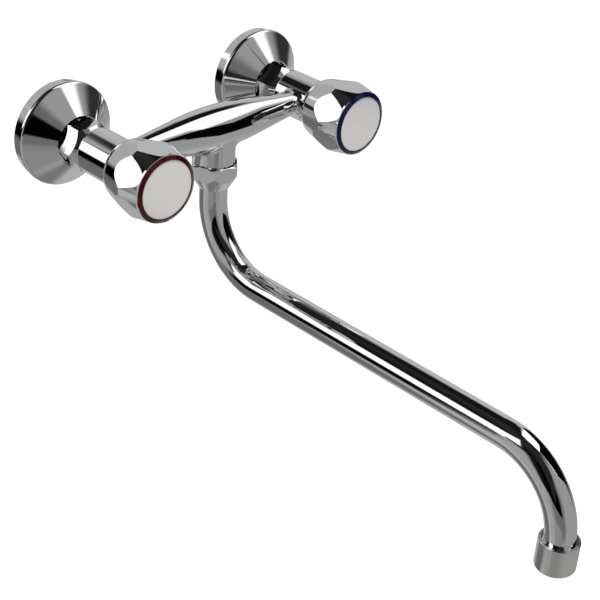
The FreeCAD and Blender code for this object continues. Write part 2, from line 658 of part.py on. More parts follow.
def aerator_housing():
    """Satin sleeve with a rounded foot, screwed on the bush."""
    soft = AERATOR_FOOT * (1 - math.sqrt(0.5))
    return turned_upright([
        (AERATOR_TOP, AERATOR_THREAD_R), (AERATOR_TOP, AERATOR_R - EDGE_BREAK),
        (AERATOR_TOP - EDGE_BREAK, AERATOR_R), (AERATOR_LOW + AERATOR_FOOT, AERATOR_R),
        Arc((AERATOR_LOW + soft, AERATOR_R - soft), (AERATOR_LOW, AERATOR_R - AERATOR_FOOT)),
        (AERATOR_LOW, AERATOR_MOUTH_R), (SCREEN_LOW, AERATOR_MOUTH_R),
        (SCREEN_LOW, AERATOR_THREAD_R)], SPOUT_END_REACH)


def aerator_seal():
    """Rubber washer between the bush and the aerator's insert."""
    return upright_rod(INSERT_R, SEAL_LOW, BUSH_LOW, SPOUT_END_REACH).cut(
        upright_rod(TUBE_R - TUBE_WALL, SEAL_LOW, BUSH_LOW, SPOUT_END_REACH))


def pierced_disc(low, high, hole_r, pitch, rings):
    """Disc of the insert's size with holes on rings about its middle."""
    disc = upright_rod(INSERT_R, low, high, SPOUT_END_REACH)
    holes = [upright_rod(hole_r, low, high, SPOUT_END_REACH)]
    for ring in range(1, rings + 1):
        count = 6 * ring
        for k in range(count):
            angle = 2 * math.pi * k / count
            hole = upright_rod(hole_r, low, high, SPOUT_END_REACH)
            hole.translate(Vector(ring * pitch * math.cos(angle), ring * pitch * math.sin(angle), 0))
            holes.append(hole)
    return disc.cut(Part.makeCompound(holes))


def aerator_insert():
    """Plastic jet breaker with two rings of fine holes."""
    return pierced_disc(INSERT_LOW, SEAL_LOW, *INSERT_HOLES)


def aerator_screen():
    """Outlet screen with four rings of holes."""
    return pierced_disc(SCREEN_LOW, INSERT_LOW, *SCREEN_HOLES)


def save(name, shape):
    """Write one node's file."""
    shape.exportStep("parts/%s.step" % name)


def main():
    """Build and write every piece."""
    os.makedirs("parts", exist_ok=True)
    per_side = (
        wall_flange, eccentric_union, inlet_washer, union_bushing, headwork_gasket,
        headwork_housing, piston, seat_washer, washer_screw, spindle, spindle_o_rings,
        spindle_clip, knob, knob_screw, index_ring, knob_cap)
    single = (
        faucet_body, spout_tube, spout_collar, spout_o_rings, spout_slip_ring, spout_nut,
        outlet_bush, aerator_housing, aerator_seal, aerator_insert, aerator_screen)
    for side, x in SIDES.items():
        for make in per_side:
            save("%s_%s" % (side, make.__name__), make(x))
        save("%s_union_nut" % side, union_nut(x, NUT_TURN[side]))
    for make in single:
        save(make.__name__, make())


main()
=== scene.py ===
"""Looks of a wall-mounted two handle kitchen faucet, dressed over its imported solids.

Everything is in metres, in the frame of the solids: the wall is the plane y = 0, the faucet
stands out towards -Y, +X runs from the hot side to the cold side and +Z is up.
"""

from __future__ import annotations

import json
import logging
import math
from dataclasses import dataclass
from enum import Enum
from typing import Sequence

import bmesh
import bpy
import numpy as np
from mathutils import Matrix, Vector

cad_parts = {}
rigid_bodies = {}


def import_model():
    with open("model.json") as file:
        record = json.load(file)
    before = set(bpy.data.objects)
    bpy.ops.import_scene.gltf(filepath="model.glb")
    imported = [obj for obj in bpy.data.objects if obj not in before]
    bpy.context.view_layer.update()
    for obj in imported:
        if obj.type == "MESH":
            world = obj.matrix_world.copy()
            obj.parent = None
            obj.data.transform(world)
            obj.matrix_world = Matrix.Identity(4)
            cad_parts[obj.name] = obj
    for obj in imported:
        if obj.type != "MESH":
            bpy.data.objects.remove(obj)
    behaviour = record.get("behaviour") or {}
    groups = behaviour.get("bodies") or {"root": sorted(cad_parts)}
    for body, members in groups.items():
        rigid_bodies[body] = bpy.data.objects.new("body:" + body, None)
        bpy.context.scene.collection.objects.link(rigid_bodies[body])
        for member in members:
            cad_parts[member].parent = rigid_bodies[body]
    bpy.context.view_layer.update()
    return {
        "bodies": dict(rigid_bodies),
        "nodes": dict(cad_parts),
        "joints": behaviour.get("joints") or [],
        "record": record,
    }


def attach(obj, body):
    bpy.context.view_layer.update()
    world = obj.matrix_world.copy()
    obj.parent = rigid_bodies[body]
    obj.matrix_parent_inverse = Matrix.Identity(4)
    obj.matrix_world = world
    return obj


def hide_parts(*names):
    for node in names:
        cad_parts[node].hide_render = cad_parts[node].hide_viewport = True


LOG = logging.getLogger("faucet")
MM = 0.001
MERGE = 1e-7

Triple = tuple[float, float, float]
Colour = Triple


# ---------------------------------------------------------------- node graphs


class Graph:
    """Short hand for wiring shader nodes in one node tree."""

    def __init__(self, tree: bpy.types.NodeTree) -> None:
        """Start on an empty tree.

        Args:
            tree: the node tree that takes the nodes.
        """
        self.tree = tree
        tree.nodes.clear()

    def node(self, kind: str, **settings: object) -> bpy.types.Node:
        """Add a node.

        Args:
            kind: the node's type name.
            settings: properties to set on it.

        Returns:
            The new node.
        """
        made = self.tree.nodes.new(kind)
        for name, value in settings.items():
            setattr(made, name, value)
        return made

    def feed(self, socket: bpy.types.NodeSocket, value: object) -> None:
        """Link a socket to the value, or set it where the value is a constant."""
        if isinstance(value, bpy.types.NodeSocket):
            self.tree.links.new(value, socket)
        else:
            socket.default_value = value

    def math(self, operation: str, *values: object, clamp: bool = False) -> bpy.types.NodeSocket:
        """Add a Math node.

        Args:
            operation: the node's operation.
            values: its inputs, sockets or numbers.
            clamp: whether the result is held between 0 and 1.

        Returns:
            The result's socket.
        """
        made = self.node("ShaderNodeMath", operation=operation, use_clamp=clamp)
        for socket, value in zip(made.inputs, values):
            self.feed(socket, value)
        return made.outputs[0]

    def ramp(self, value: object, start: float, end: float, low: float = 0.0,
             high: float = 1.0) -> bpy.types.NodeSocket:
        """Map a value smoothly from the span start..end to the span low..high.

        Args:
            value: the socket to map.
            start: the value that gives low.
            end: the value that gives high.
            low: the result at and before start.
            high: the result at and after end.

        Returns:
            The result's socket.
        """
        made = self.node("ShaderNodeMapRange", interpolation_type="SMOOTHSTEP", clamp=True)
        ends = {"From Min": start, "From Max": end, "To Min": low, "To Max": high}
        for name, number in ends.items():
            made.inputs[name].default_value = number
        self.feed(made.inputs["Value"], value)
        return made.outputs[0]

    def mix(self, share: object, first: object, second: object) -> bpy.types.NodeSocket:
        """Blend two numbers: first where share is 0, second where it is 1."""
        made = self.node("ShaderNodeMix", data_type="FLOAT")
        self.feed(made.inputs[0], share)
        self.feed(made.inputs[2], first)
        self.feed(made.inputs[3], second)
        return made.outputs[0]

    def noise(self, scale: float, detail: float = 3.0,
              stretch: Triple = (1.0, 1.0, 1.0)) -> bpy.types.NodeSocket:
        """Noise on Object coordinates.

        Args:
            scale: features per metre, before the stretch.
            detail: octaves.
            stretch: how much the pattern is squeezed along each axis.

        Returns:
            The noise value's socket.
        """
        place = self.node("ShaderNodeTexCoord")
        mapping = self.node("ShaderNodeMapping")
        mapping.inputs["Scale"].default_value = stretch
        made = self.node("ShaderNodeTexNoise")
        made.inputs["Scale"].default_value = scale
        made.inputs["Detail"].default_value = detail
        self.tree.links.new(place.outputs["Object"], mapping.inputs["Vector"])
        self.tree.links.new(mapping.outputs["Vector"], made.inputs["Vector"])
        return made.outputs["Fac"]

    def bump(self, height: object, strength: float, distance: float) -> bpy.types.NodeSocket:
        """Bump from a height value.

        Args:
            height: the height's socket, 0 to 1.
            strength: the share of the effect, 0 to 1.
            distance: the height in metres that 1 stands for.

        Returns:
            The normal's socket.
        """
        made = self.node("ShaderNodeBump")
        made.inputs["Strength"].default_value = strength
        made.inputs["Distance"].default_value = distance
        self.feed(made.inputs["Height"], height)
        return made.outputs[0]


# ------------------------------------------------------------------- finishes


def new_material(name: str) -> tuple[bpy.types.Material, Graph, bpy.types.Node]:
    """Make a material with one Principled shader.

    Args:
        name: the material's name.

    Returns:
        The material, its graph and the shader node.
    """
    material = bpy.data.materials.new(name)
    material.use_nodes = True
    graph = Graph(material.node_tree)
    shader = graph.node("ShaderNodeBsdfPrincipled")
    output = graph.node("ShaderNodeOutputMaterial")
    graph.feed(output.inputs["Surface"], shader.outputs[0])
    return material, graph, shader


@dataclass(frozen=True)
class PolishedPlate:
    """Bright plated metal: mirror-like, with faint polishing waves and hazy patches."""

    name: str
    colour: Colour
    roughness: float = 0.035
    haze: float = 0.03
    wave: float = 0.00001

    def make(self) -> bpy.types.Material:
        """Build the material: roughness drifts with a slow noise, and a fine one waves the skin."""
        material, graph, shader = new_material(self.name)
        shader.inputs["Base Color"].default_value = (*self.colour, 1.0)
        shader.inputs["Metallic"].default_value = 1.0
        drift = graph.noise(60.0, detail=4.0)
        graph.feed(shader.inputs["Roughness"],
                   graph.ramp(drift, 0.35, 0.75, self.roughness, self.roughness + self.haze))
        waves = graph.noise(140.0, detail=1.0)
        graph.feed(shader.inputs["Normal"], graph.bump(waves, 0.35, self.wave))
        return material


@dataclass(frozen=True)
class SatinMetal:
    """Softly brushed metal, with fine lines where its grain is squeezed along one axis."""

    name: str
    colour: Colour
    roughness: float
    grain: Triple = (1.0, 1.0, 1.0)
    grain_scale: float = 900.0
    grain_depth: float = 0.000004

    def make(self) -> bpy.types.Material:
        """Build the material: the grain is a squeezed noise that bumps and roughens the skin."""
        material, graph, shader = new_material(self.name)
        shader.inputs["Base Color"].default_value = (*self.colour, 1.0)
        shader.inputs["Metallic"].default_value = 1.0
        grain = graph.noise(self.grain_scale, detail=5.0, stretch=self.grain)
        graph.feed(shader.inputs["Roughness"],
                   graph.ramp(grain, 0.3, 0.7, self.roughness - 0.05, self.roughness + 0.07))
        graph.feed(shader.inputs["Normal"], graph.bump(grain, 0.5, self.grain_depth))
        return material


@dataclass(frozen=True)
class SilverDisc:
    """Satin silver surface that scatters more than it mirrors, with a fine pearly grain."""

    name: str
    colour: Colour
    metallic: float = 0.35
    roughness: float = 0.22
    grain_depth: float = 0.000001

    def make(self) -> bpy.types.Material:
        """Build the material: a fine noise varies how much is mirror, and how dull that is."""
        material, graph, shader = new_material(self.name)
        shader.inputs["Base Color"].default_value = (*self.colour, 1.0)
        pearl = graph.noise(2500.0, detail=3.0)
        graph.feed(shader.inputs["Metallic"],
                   graph.ramp(pearl, 0.3, 0.7, self.metallic - 0.05, self.metallic + 0.05))
        graph.feed(shader.inputs["Roughness"],
                   graph.ramp(pearl, 0.3, 0.7, self.roughness - 0.03, self.roughness + 0.05))
        graph.feed(shader.inputs["Normal"], graph.bump(pearl, 0.5, self.grain_depth))
        return material


@dataclass(frozen=True)
class GlossPlastic:
    """Injection-moulded plastic with a clear gloss and a trace of flow marks."""

    name: str
    colour: Colour
    roughness: float = 0.12
    refraction: float = 1.4

    def make(self) -> bpy.types.Material:
        """Build the material: a slow noise darkens the colour a little and dulls the gloss."""
        material, graph, shader = new_material(self.name)
        flow = graph.noise(220.0, detail=3.0)
        tint = graph.node("ShaderNodeMix", data_type="RGBA")
        graph.feed(tint.inputs[0], graph.ramp(flow, 0.3, 0.7))
        tint.inputs[6].default_value = (*self.colour, 1.0)
        tint.inputs[7].default_value = (*(0.8 * c for c in self.colour), 1.0)
        graph.feed(shader.inputs["Base Color"], tint.outputs[2])
        graph.feed(shader.inputs["Roughness"],
                   graph.ramp(flow, 0.3, 0.7, self.roughness, self.roughness + 0.06))
        shader.inputs["IOR"].default_value = self.refraction
        return material


@dataclass(frozen=True)
class SoftRubber:
    """Matt black rubber with a dusty, slightly mottled skin."""

    name: str
    colour: Colour
    roughness: float = 0.75
    pit_depth: float = 0.00003

    def make(self) -> bpy.types.Material:
        """Build the material: a fine noise mottles the colour and pits the skin."""
        material, graph, shader = new_material(self.name)
        mottle = graph.noise(700.0, detail=4.0)
        tint = graph.node("ShaderNodeMix", data_type="RGBA")
        graph.feed(tint.inputs[0], mottle)
        tint.inputs[6].default_value = (*(0.7 * c for c in self.colour), 1.0)
        tint.inputs[7].default_value = (*(1.5 * c for c in self.colour), 1.0)
        graph.feed(shader.inputs["Base Color"], tint.outputs[2])
        shader.inputs["Roughness"].default_value = self.roughness
        graph.feed(shader.inputs["Normal"], graph.bump(mottle, 0.4, self.pit_depth))
        return material


class Finish(Enum):
    """The finishes on the faucet, by the record's material slot."""

    CHROME = "chrome"
    BRASS = "brass"
    RUBBER = "rubber"
    STEEL = "steel"
    RING_HOT = "ring_hot"
    RING_COLD = "ring_cold"
    CAP = "cap"
    PLASTIC = "plastic"
    NICKEL = "nickel"


FINISHES: dict[Finish, PolishedPlate | SatinMetal | SilverDisc | GlossPlastic | SoftRubber] = {
    Finish.CHROME: PolishedPlate("polished_chrome", (0.88, 0.885, 0.89)),
    Finish.BRASS: SatinMetal("turned_brass", (0.72, 0.52, 0.24), 0.28, grain=(1.0, 12.0, 1.0)),
    Finish.RUBBER: SoftRubber("black_rubber", (0.03, 0.03, 0.03)),
    Finish.STEEL: SatinMetal("plain_steel", (0.55, 0.55, 0.56), 0.32),
    Finish.RING_HOT: GlossPlastic("dark_red_plastic", (0.044, 0.001, 0.004)),
    Finish.RING_COLD: GlossPlastic("dark_blue_plastic", (0.002, 0.005, 0.042)),
    Finish.CAP: SilverDisc("silver_cap", (0.88, 0.87, 0.85)),
    Finish.PLASTIC: GlossPlastic("white_plastic", (0.75, 0.75, 0.72), 0.35),
    Finish.NICKEL: SatinMetal("satin_nickel", (0.82, 0.815, 0.79), 0.24, grain=(1.0, 1.0, 0.15)),
}


# --------------------------------------------------------------------- studio


@dataclass(frozen=True)
class Panel:
    """A soft-edged patch of the reflection tent, placed by direction from the faucet.

    Azimuth is in degrees from -Y towards +X, elevation in degrees above the horizon. soft is
    how far its edges blur, and fade the same for the upper and lower ones where it differs.
    slant tilts the patch: the elevation of its middle grows by that much per degree of azimuth.
    """

    azimuth: float
    elevation: float
    half_width: float
    half_height: float
    level: float
    soft: float = 4.0
    fade: float = 0.0
    slant: float = 0.0


@dataclass(frozen=True)
class Flag:
    """Upright dark card close to the faucet, seen only in its bright metal.

    across, low and high give the stations along the card and its lower and upper edge there.
    """

    centre: tuple[float, float] = (264.0 * MM, -346.0 * MM)
    azimuth: float = 55.0
    across: tuple[float, ...] = (-210.0 * MM, -70.0 * MM, 0.0, 200.0 * MM)
    low: tuple[float, ...] = (60.0 * MM, -110.0 * MM, -110.0 * MM, -110.0 * MM)
    high: tuple[float, ...] = (460.0 * MM, 240.0 * MM, 140.0 * MM, 190.0 * MM)


@dataclass
class Studio:
    """Camera, lamps, floor and the tent of panels that bright metal mirrors.

    Attributes:
        azimuth, elevation: where the camera stands, in degrees as for a panel.
        roll: how far it is tilted about its line of sight, in degrees.
        distance: how far it stands from its aim.
        aim: the point it looks at.
        focal_share: its focal length as a share of the sensor's width.
        floor_height, floor_half: the floor's Z and half its width.
        floor_glow: the floor's own light, which only what looks at it directly sees.
        tent_radius: the radius of the sphere that carries the panels.
        ground_level, sky_level: the tent's brightness below and above the horizon.
        horizon: the elevations between which the one turns into the other, in degrees.
        surround_level: how strongly the surroundings light what isn't a mirror.
        lamp_size, lamp_power, lamp_place, lamp_aim: the soft lamp.
        panels: the panels, each laid over those before it.
        flag: the near card.
    """

    azimuth: float = -46.06
    elevation: float = 30.23
    roll: float = 4.17
    distance: float = 0.7785
    aim: Triple = (-0.03953, -0.16972, -0.04863)
    focal_share: float = 1442.0 / 600.0
    floor_height: float = -1.0
    floor_half: float = 12.0
    floor_glow: float = 0.6
    tent_radius: float = 9.0
    ground_level: float = 0.46
    sky_level: float = 0.008
    horizon: tuple[float, float] = (-9.0, -3.0)
    surround_level: float = 0.5
    lamp_size: float = 0.9
    lamp_power: float = 42.0
    lamp_place: Triple = (-0.5, -1.0, 1.9)
    lamp_aim: Triple = (0.0, -0.1, 0.0)
    panels: tuple[Panel, ...] = (
        Panel(-110.0, 68.0, 78.0, 14.0, 0.022, soft=10.0),
        Panel(-56.0, -42.0, 32.0, 32.0, 0.26, soft=14.0, fade=3.0),
        Panel(-50.0, -13.0, 24.0, 7.0, 0.16, soft=12.0, fade=3.0),
        Panel(-155.0, -38.0, 28.0, 22.0, 0.15, soft=6.0),
        Panel(0.0, -84.0, 180.0, 12.0, 0.19, soft=8.0),
        Panel(40.0, 4.0, 71.0, 52.0, 0.33, soft=2.0, fade=14.0),
        Panel(-28.0, 12.0, 12.0, 40.0, 0.15, soft=8.0),
        Panel(-49.0, 16.0, 20.5, 22.5, 0.0008, soft=1.5, fade=2.0),
        Panel(-30.0, 56.0, 24.0, 33.0, 0.02, soft=4.0, slant=1.0),
        Panel(82.0, 6.0, 21.0, 16.0, 0.03, soft=8.0),
        Panel(68.0, 58.0, 36.0, 25.0, 1.3, soft=4.0),
        Panel(127.0, 64.0, 24.0, 22.0, 0.008, soft=5.0),
        Panel(135.0, 18.0, 31.0, 22.0, 0.50, soft=6.0, slant=0.3),
        Panel(-178.0, 18.0, 30.0, 22.0, 0.42, soft=5.0),
        Panel(-100.0, -20.0, 14.0, 40.0, 0.36, soft=6.0, slant=0.6),
        Panel(-145.0, -8.0, 28.0, 10.0, 0.0015, soft=4.0),
        Panel(-129.0, 20.5, 18.5, 15.0, 1.3, soft=2.5, slant=0.35),
        Panel(-106.0, 37.0, 14.0, 13.0, 1.3, soft=2.5, slant=0.9),
        Panel(-157.0, 21.0, 9.0, 5.0, 1.1, soft=2.0),
    )
    flag: Flag = Flag()

    def camera(self) -> bpy.types.Object:
        """Place the camera on a sphere about its aim.

        The step from the aim to the camera is the distance times
        (sin u * cos v, -cos u * cos v, sin v), with u the azimuth and v the elevation.

        Returns:
            The camera.
        """
        turn, rise, tilt = (math.radians(v) for v in (self.azimuth, self.elevation, self.roll))
        level = math.cos(rise)
        back = Vector((math.sin(turn) * level, -math.cos(turn) * level, math.sin(rise)))
        right = Vector((math.cos(turn), math.sin(turn), 0.0))
        up = back.cross(right)
        across = math.cos(tilt) * right + math.sin(tilt) * up
        upward = -math.sin(tilt) * right + math.cos(tilt) * up
        data = bpy.data.cameras.new("camera")
        data.sensor_width = 36.0
        data.lens = data.sensor_width * self.focal_share
        data.clip_start = 0.01
        camera = bpy.data.objects.new("camera", data)
        bpy.context.scene.collection.objects.link(camera)
        place = Matrix((across, upward, back)).transposed().to_4x4()
        place.translation = Vector(self.aim) + self.distance * back
        camera.matrix_world = place
        bpy.context.scene.camera = camera
        return camera

    def floor(self) -> bpy.types.Object:
        """Wide white floor, a metre under the faucet.

        Returns:
            The floor.
        """
        half, height = self.floor_half, self.floor_height
        mesh = bpy.data.meshes.new("floor")
        mesh.from_pydata([(-half, -half, height), (half, -half, height), (half, half, height),
                          (-half, half, height)], [], [(0, 1, 2, 3)])
        floor = bpy.data.objects.new("floor", mesh)
        bpy.context.scene.collection.objects.link(floor)
        material, graph, shader = new_material("white_floor")
        shader.inputs["Base Color"].default_value = (0.98, 0.98, 0.98, 1.0)
        shader.inputs["Roughness"].default_value = 0.9
        shader.inputs["Specular IOR Level"].default_value = 0.0
        seen = self.seen_directly(graph)
        shader.inputs["Emission Color"].default_value = (1.0, 1.0, 1.0, 1.0)
        glow = graph.math("MULTIPLY", seen, self.floor_glow)
        graph.feed(shader.inputs["Emission Strength"], glow)
        mesh.materials.append(material)
        floor.visible_glossy = False
        return floor

    @staticmethod
    def seen_directly(graph: Graph) -> bpy.types.NodeSocket:
        """Value that is 1 for camera, mirrored and refracted rays, and 0 for all others."""
        path = graph.node("ShaderNodeLightPath")
        seen = graph.math("ADD", path.outputs["Is Camera Ray"], path.outputs["Is Glossy Ray"])
        return graph.math("ADD", seen, path.outputs["Is Transmission Ray"], clamp=True)

    def tent(self) -> bpy.types.Object:
        """Sphere round the faucet that only mirror-like surfaces see.

        Its points are r * (cos v cos u, cos v sin u, sin v), with u the turn and v the rise.

        Returns:
            The tent.
        """
        rise = np.linspace(-math.pi / 2, math.pi / 2, 33)[:, None]
        turn = np.linspace(0.0, 2 * math.pi, 65)[None, :]
        unit = np.stack([np.cos(rise) * np.cos(turn), np.cos(rise) * np.sin(turn),
                         np.sin(rise) + 0 * turn], axis=-1)
        grid = self.tent_radius * unit
        tent = surface("tent", grid)
        tent.data.materials.append(self.tent_material())
        self.show_in_mirrors_only(tent)
        return tent

    def dark_card(self) -> bpy.types.Object:
        """Near card that puts the dark bands on the crosspiece and the first bend.

        Returns:
            The card.
        """
        turn = math.radians(self.flag.azimuth)
        across = np.array(self.flag.across)
        x = self.flag.centre[0] + math.cos(turn) * across
        y = self.flag.centre[1] + math.sin(turn) * across
        grid = np.stack([np.stack([x, y, np.array(height)], axis=-1)
                         for height in (self.flag.low, self.flag.high)])
        card = surface("dark_card", grid)
        material, _, shader = new_material("dark_card")
        shader.inputs["Base Color"].default_value = (0.002, 0.002, 0.002, 1.0)
        shader.inputs["Roughness"].default_value = 1.0
        shader.inputs["Specular IOR Level"].default_value = 0.0
        card.data.materials.append(material)
        self.show_in_mirrors_only(card)
        return card

    @staticmethod
    def show_in_mirrors_only(thing: bpy.types.Object) -> None:
        """Hide an object of the studio from all rays but the mirrored ones."""
        for ray in ("camera", "diffuse", "shadow", "transmission", "volume_scatter"):
            setattr(thing, f"visible_{ray}", False)

    def tent_material(self) -> bpy.types.Material:
        """Emission by direction: dark above, grey below, and the panels over that."""
        material = bpy.data.materials.new("tent")
        material.use_nodes = True
        material.cycles.emission_sampling = "NONE"
        graph = Graph(material.node_tree)
        place = graph.node("ShaderNodeTexCoord")
        unit = graph.node("ShaderNodeVectorMath", operation="NORMALIZE")
        graph.feed(unit.inputs[0], place.outputs["Object"])
        split = graph.node("ShaderNodeSeparateXYZ")
        graph.feed(split.inputs[0], unit.outputs[0])
        forward = graph.math("MULTIPLY", split.outputs["Y"], -1.0)
        azimuth = graph.math("DEGREES", graph.math("ARCTAN2", split.outputs["X"], forward))
        elevation = graph.math("DEGREES", graph.math("ARCSINE", split.outputs["Z"]))
        level = graph.ramp(elevation, *self.horizon, self.ground_level, self.sky_level)
        for panel in self.panels:
            level = self.add_panel(graph, azimuth, elevation, level, panel)
        emission = graph.node("ShaderNodeEmission")
        graph.feed(emission.inputs["Strength"], level)
        output = graph.node("ShaderNodeOutputMaterial")
        graph.feed(output.inputs["Surface"], emission.outputs[0])
        return material

    @staticmethod
    def add_panel(graph: Graph, azimuth: object, elevation: object, level: object,
                  panel: Panel) -> bpy.types.NodeSocket:
        """Lay one panel over the level so far.

        The panel's mask is the product of two smooth steps, one across and one up and down.

        Args:
            graph: the tent's graph.
            azimuth: the direction's azimuth, in degrees.
            elevation: its elevation, in degrees.
            level: the brightness under the panel.
            panel: what to add.

        Returns:
            The brightness with the panel.
        """
        across = graph.math("WRAP", graph.math("SUBTRACT", azimuth, panel.azimuth), 180.0, -180.0)
        upward = graph.math("SUBTRACT", elevation, panel.elevation)
        upward = graph.math("SUBTRACT", upward, graph.math("MULTIPLY", across, panel.slant))
        masks = []
        for offset, half, blur in ((across, panel.half_width, panel.soft),
                                   (upward, panel.half_height, panel.fade or panel.soft)):
            masks.append(graph.ramp(graph.math("ABSOLUTE", offset), half + blur, half - blur))
        return graph.mix(graph.math("MULTIPLY", *masks), level, panel.level)

    def lamps(self) -> None:
        """White surroundings, and one soft lamp overhead to the left."""
        world = bpy.data.worlds.new("surroundings")
        world.use_nodes = True
        graph = Graph(world.node_tree)
        seen = self.seen_directly(graph)
        background = graph.node("ShaderNodeBackground")
        graph.feed(background.inputs["Strength"], graph.mix(seen, self.surround_level, 1.0))
        output = graph.node("ShaderNodeOutputWorld")
        graph.feed(output.inputs["Surface"], background.outputs[0])
        bpy.context.scene.world = world
        data = bpy.data.lights.new("soft_lamp", "AREA")
        data.shape = "DISK"
        data.size = self.lamp_size
        data.energy = self.lamp_power
        lamp = bpy.data.objects.new("soft_lamp", data)
        lamp.location = self.lamp_place
        sight = Vector(self.lamp_aim) - lamp.location
        lamp.rotation_euler = sight.to_track_quat("-Z", "Y").to_euler()
        lamp.visible_glossy = False
        bpy.context.scene.collection.objects.link(lamp)

    def build(self) -> None:
        """Make the whole studio."""
        self.camera()
        self.floor()
        self.tent()
        self.dark_card()
        self.lamps()
        bpy.context.scene.view_settings.view_transform = "Standard"


# ------------------------------------------------------------------- surfaces


def surface(name: str, *grids: np.ndarray) -> bpy.types.Object:
    """Make one smooth mesh from grids of points.

    Points that coincide are merged, which closes seams and poles, and a grid that encloses a
    volume has its faces turned outward.

    Args:
        name: the object's name.
        grids: points, each rows by columns by 3.

    Returns:
        The object, linked to the scene.
    """
    points, faces, offset = [], [], 0
    for grid in grids:
        rows, columns = grid.shape[:2]
        index = np.arange(rows * columns).reshape(rows, columns)
        quads = np.stack([index[:-1, :-1], index[:-1, 1:], index[1:, 1:], index[1:, :-1]], axis=-1)
        quads = quads.reshape(-1, 4)
        flat = grid.reshape(-1, 3)
        corners = flat[quads] - flat.mean(axis=0)
        crossing = np.cross(corners[:, 2] - corners[:, 0], corners[:, 3] - corners[:, 1])
        if np.einsum("ij,ij->", corners.mean(axis=1), crossing) < 0.0:
            quads = quads[:, ::-1]
        points.append(flat)
        faces.append(quads + offset)
        offset += rows * columns
    mesh = bpy.data.meshes.new(name)
    mesh.from_pydata(np.concatenate(points).tolist(), [], np.concatenate(faces).tolist())
    work = bmesh.new()
    work.from_mesh(mesh)
    bmesh.ops.remove_doubles(work, verts=work.verts, dist=MERGE)
    work.to_mesh(mesh)
    work.free()
    mesh.polygons.foreach_set("use_smooth", np.ones(len(mesh.polygons), dtype=bool))
    made = bpy.data.objects.new(name, mesh)
    bpy.context.scene.collection.objects.link(made)
    return made


def ringed(rows: Sequence[tuple[float, np.ndarray | float, float]], x: float,
           columns: int) -> np.ndarray:
    """Grid of a closed shell round axes along Y.

    Row k holds the points (x + r cos u, y, z + r sin u), with u from 0 to 360 degrees. The
    first row is repeated at the end, which closes the shell.

    Args:
        rows: for each row its y, its radius (one number, or one for each column) and its z.
        x: the x of the axes.
        columns: steps round.

    Returns:
        The grid, rows + 1 by columns + 1 by 3.
    """
    turn = np.linspace(0.0, 2 * math.pi, columns + 1)
    level = np.array([row[0] for row in rows])[:, None]
    radius = np.stack([row[1] + 0.0 * turn for row in rows])
    centre = np.array([row[2] for row in rows])[:, None]
    grid = np.stack([x + radius * np.cos(turn), level + 0.0 * radius,
                     centre + radius * np.sin(turn)], axis=-1)
    return np.concatenate([grid, grid[:1]])


# --------------------------------------------------------------------- faucet


class Side(Enum):
    """The two sides of the faucet, each with the X of its axis."""

    HOT = "hot"
    COLD = "cold"

    @property
    def x(self) -> float:
        """The X of the side's inlet and handle, which share one axis."""
        return -75.0 * MM if self is Side.HOT else 75.0 * MM


@dataclass
class SubAssembly:
    """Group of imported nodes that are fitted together; a subclass adds sizes and pieces."""

    frame: dict
    materials: dict[Finish, bpy.types.Material]

    def names(self) -> list[str]:
        """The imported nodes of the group."""
        raise NotImplementedError

    def finish_of(self, name: str) -> Finish:
        """The finish the record gives a node."""
        parts = self.frame["record"]["subparts"]
        return next(Finish(part["material_slot"]) for part in parts if part["node"] == name)

    def dress(self) -> None:
        """Put the material of every node in its one slot."""
        for name in self.names():
            data = self.frame["nodes"][name].data
            data.materials.clear()
            finish = self.finish_of(name)
            data.materials.append(self.materials[finish])
            LOG.info("%s dressed as %s", name, finish.value)

    def detail(self) -> None:
        """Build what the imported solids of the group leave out; nothing by default."""


